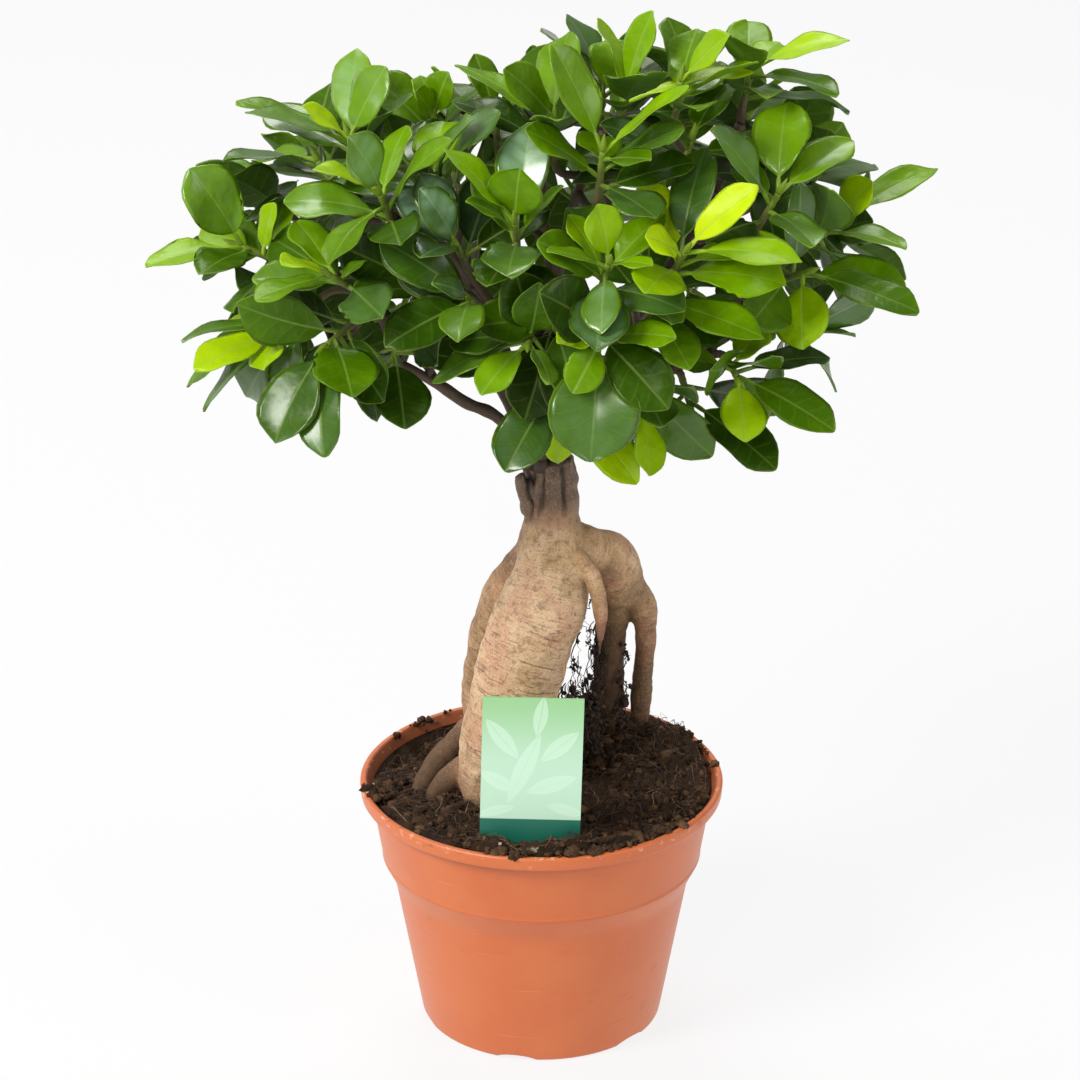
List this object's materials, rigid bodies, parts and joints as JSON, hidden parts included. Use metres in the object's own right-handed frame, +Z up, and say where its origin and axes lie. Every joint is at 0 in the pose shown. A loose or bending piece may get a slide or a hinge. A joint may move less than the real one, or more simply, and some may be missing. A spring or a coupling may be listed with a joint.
{
  "type": "potted ginseng ficus",
  "caption": "Small potted ficus with a swollen forked root trunk, a broad crown of oval leaves on grafted twigs, and a plain plant label, standing in a round tapered nursery pot.",
  "frame": {"origin": "centre of the pot's foot, on the surface that it stands on", "axes": "+Z up from the foot through the crown, -Y towards the side with the plant label, +X to the right of someone who faces the label"},
  "size_m": [0.3071, 0.2197, 0.4384],
  "materials": {
    "pot": "satin terracotta-coloured plastic with light scuffs",
    "soil": "dark crumbly peat with fine root hairs",
    "trunk": "smooth pale tan bark with fine dark cross lines, darker towards the soil and on the stub",
    "foliage": "glossy green leaves with paler veins on brown twigs",
    "plant_label": "smooth printed card in mint and dark green"
  },
  "bodies": {
    "root": {"pot": "pot", "soil": "soil", "trunk": "trunk", "plant_label": "plant_label", "bough_left_low": "foliage", "bough_left_high": "foliage", "bough_front": "foliage", "bough_right_low": "foliage", "bough_right_high": "foliage", "bough_top": "foliage", "bough_back_left": "foliage", "bough_back_right": "foliage"}
  },
  "joints": []
}
